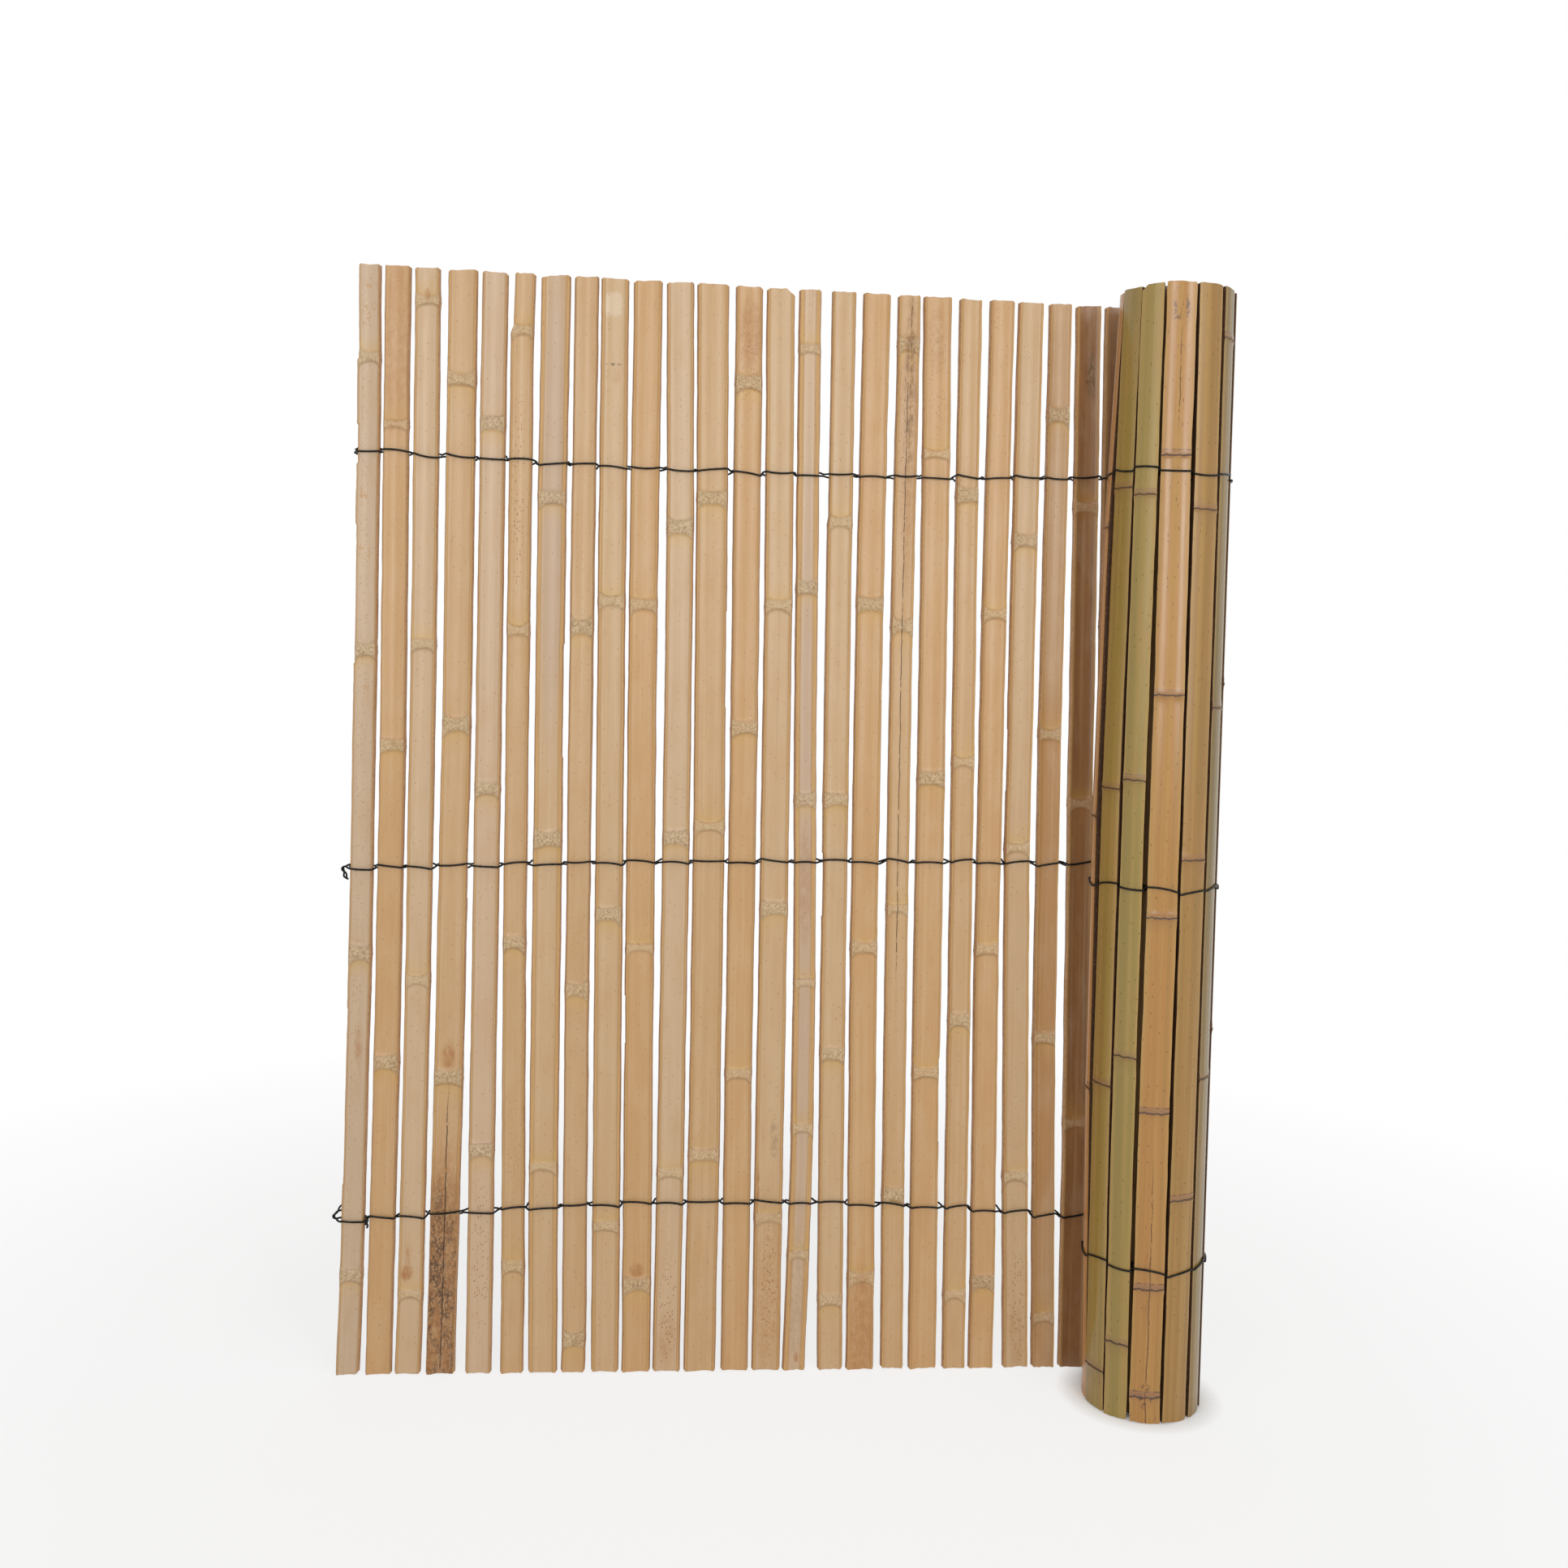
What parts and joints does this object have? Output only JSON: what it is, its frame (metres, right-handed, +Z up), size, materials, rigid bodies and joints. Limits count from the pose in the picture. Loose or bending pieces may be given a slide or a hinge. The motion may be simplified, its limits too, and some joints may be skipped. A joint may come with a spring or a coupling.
{
  "type": "bamboo fence panel",
  "caption": "Split-bamboo fence panel, partly unrolled: upright slats laced side by side with black wire, the rest of the mat wound into a roll at one end.",
  "frame": {"origin": "centre of the part's box at floor level", "axes": "+Z up along the slats, +X along the mat towards the roll, +Y behind the mat, on its skin side"},
  "size_m": [0.7958, 0.121, 1.0004],
  "materials": {
    "flat_bamboo": "dry split inner face, matt",
    "rolled_bamboo": "smooth skin, satin",
    "wire": "black annealed wire"
  },
  "bodies": {
    "root": {"flat_slat_01": "flat_bamboo", "flat_slat_02": "flat_bamboo", "flat_slat_03": "flat_bamboo", "flat_slat_04": "flat_bamboo", "flat_slat_05": "flat_bamboo", "flat_slat_06": "flat_bamboo", "flat_slat_07": "flat_bamboo", "flat_slat_08": "flat_bamboo", "flat_slat_09": "flat_bamboo", "flat_slat_10": "flat_bamboo", "flat_slat_11": "flat_bamboo", "flat_slat_12": "flat_bamboo", "flat_slat_13": "flat_bamboo", "flat_slat_14": "flat_bamboo", "flat_slat_15": "flat_bamboo", "flat_slat_16": "flat_bamboo", "flat_slat_17": "flat_bamboo", "flat_slat_18": "flat_bamboo", "flat_slat_19": "flat_bamboo", "flat_slat_20": "flat_bamboo", "flat_slat_21": "flat_bamboo", "flat_slat_22": "flat_bamboo", "flat_slat_23": "flat_bamboo", "flat_slat_24": "flat_bamboo", "flat_slat_25": "flat_bamboo", "rolled_slat_01": "rolled_bamboo", "rolled_slat_02": "rolled_bamboo", "rolled_slat_03": "rolled_bamboo", "rolled_slat_04": "rolled_bamboo", "rolled_slat_05": "rolled_bamboo", "rolled_slat_06": "rolled_bamboo", "rolled_slat_07": "rolled_bamboo", "rolled_slat_08": "rolled_bamboo", "rolled_slat_09": "rolled_bamboo", "rolled_slat_10": "rolled_bamboo", "rolled_slat_11": "rolled_bamboo", "rolled_slat_12": "rolled_bamboo", "rolled_slat_13": "rolled_bamboo", "rolled_slat_14": "rolled_bamboo", "rolled_slat_15": "rolled_bamboo", "rolled_slat_16": "rolled_bamboo", "rolled_slat_17": "rolled_bamboo", "rolled_slat_18": "rolled_bamboo", "rolled_slat_19": "rolled_bamboo", "rolled_slat_20": "rolled_bamboo", "rolled_slat_21": "rolled_bamboo", "rolled_slat_22": "rolled_bamboo", "top_wire_a": "wire", "top_wire_b": "wire", "middle_wire_a": "wire", "middle_wire_b": "wire", "bottom_wire_a": "wire", "bottom_wire_b": "wire"}
  },
  "joints": []
}
